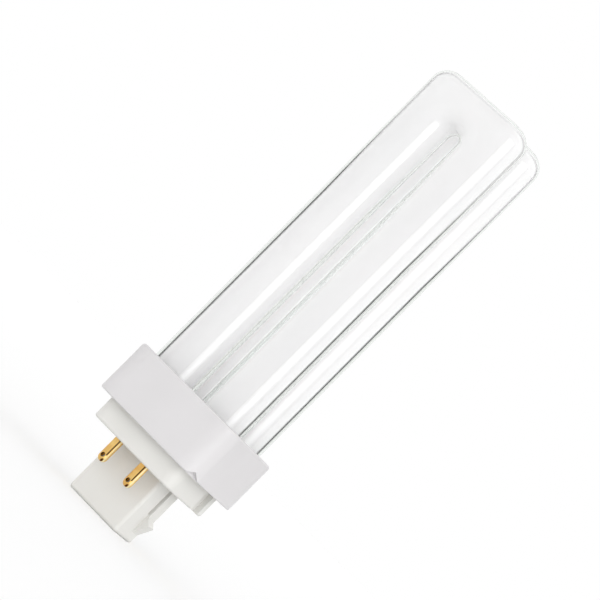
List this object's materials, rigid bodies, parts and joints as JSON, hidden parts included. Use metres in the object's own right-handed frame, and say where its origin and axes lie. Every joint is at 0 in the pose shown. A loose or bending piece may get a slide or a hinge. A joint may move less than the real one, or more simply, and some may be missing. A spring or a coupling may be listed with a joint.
{
  "type": "four pin compact fluorescent lamp",
  "caption": "Plug-in compact fluorescent lamp: two squared bends of glass tube on a square collar, with a rectangular key post and brass pins beside it.",
  "frame": {"origin": "centre of the seating plane, the flange's underside, midway between the four pins", "axes": "+Z along the lamp towards the glass, X from leg to leg of each bend, -Y the front row of pins"},
  "size_m": [0.034, 0.034, 0.131],
  "materials": {
    "glass": "clear glass tube, coated white inside",
    "collar_plastic": "moulded satin white",
    "base_plastic": "moulded satin white",
    "cement": "dull",
    "pin_brass": "bright",
    "lead_metal": "drawn wire",
    "sleeve_fibre": "woven, dull",
    "solder": "satin"
  },
  "bodies": {
    "root": {"discharge_tube": "glass", "collar": "collar_plastic", "plug_base": "base_plastic", "fixing_cement": "cement", "contact_pin_1": "pin_brass", "contact_pin_2": "pin_brass", "contact_pin_3": "pin_brass", "contact_pin_4": "pin_brass", "lead_wire_1": "lead_metal", "lead_wire_2": "lead_metal", "lead_wire_3": "lead_metal", "lead_wire_4": "lead_metal", "lead_sleeve_1": "sleeve_fibre", "lead_sleeve_2": "sleeve_fibre", "lead_sleeve_3": "sleeve_fibre", "lead_sleeve_4": "sleeve_fibre", "solder_bead_1": "solder", "solder_bead_2": "solder", "solder_bead_3": "solder", "solder_bead_4": "solder"}
  },
  "joints": []
}
